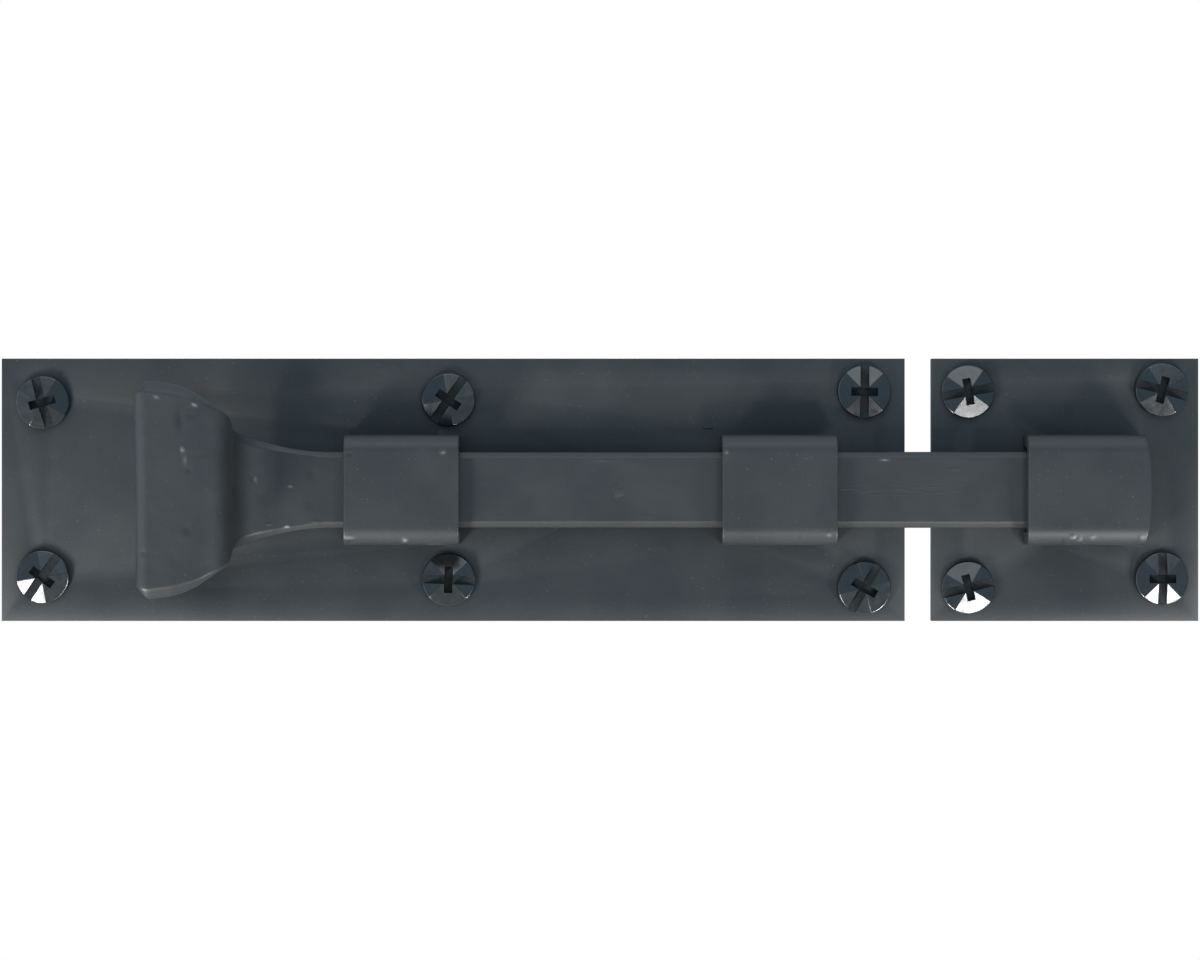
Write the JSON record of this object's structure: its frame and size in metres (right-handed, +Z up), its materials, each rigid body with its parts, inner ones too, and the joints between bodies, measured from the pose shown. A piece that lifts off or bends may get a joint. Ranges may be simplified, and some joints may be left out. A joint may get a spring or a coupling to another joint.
{
  "type": "straight slide door bolt with keep",
  "caption": "Flat-bar slide bolt with a rolled fan handle, running in two bent-strap guides on a backplate, with a matching keep plate and staple.",
  "frame": {"origin": "middle of the backplate's back face, the face that lies on the door", "axes": "+X along the bolt towards the keep, +Y out of the back face into the door, +Z up, so the front faces -Y"},
  "size_m": [0.269, 0.0567, 0.059],
  "materials": {
    "painted_steel": "satin black powder coat with a cool grey cast",
    "painted_bolt": "satin black powder coat over a forged bar",
    "black_screws": "glossy black",
    "bare_steel": "plain",
    "spring_steel": "blued"
  },
  "bodies": {
    "plate": {"backplate": "painted_steel", "tail_guide": "painted_steel", "nose_guide": "painted_steel", "plate_screw_1": "black_screws", "plate_screw_2": "black_screws", "plate_screw_3": "black_screws", "plate_screw_4": "black_screws", "plate_screw_5": "black_screws", "plate_screw_6": "black_screws"},
    "bolt": {"bolt_bar": "painted_bolt", "stop_pin": "bare_steel", "friction_spring": "spring_steel", "spring_rivet": "bare_steel"},
    "keep": {"keep_plate": "painted_steel", "keep_staple": "painted_steel", "keep_screw_1": "black_screws", "keep_screw_2": "black_screws", "keep_screw_3": "black_screws", "keep_screw_4": "black_screws"}
  },
  "joints": [
    {"name": "bolt_slide", "type": "slide", "parent": "plate", "child": "bolt", "axis": [1, 0, 0], "range_m": [-0.038, 0]},
    {"name": "keep_draw_off", "type": "slide", "parent": "plate", "child": "keep", "axis": [1, 0, 0], "range_m": [0, 0.02]}
  ]
}
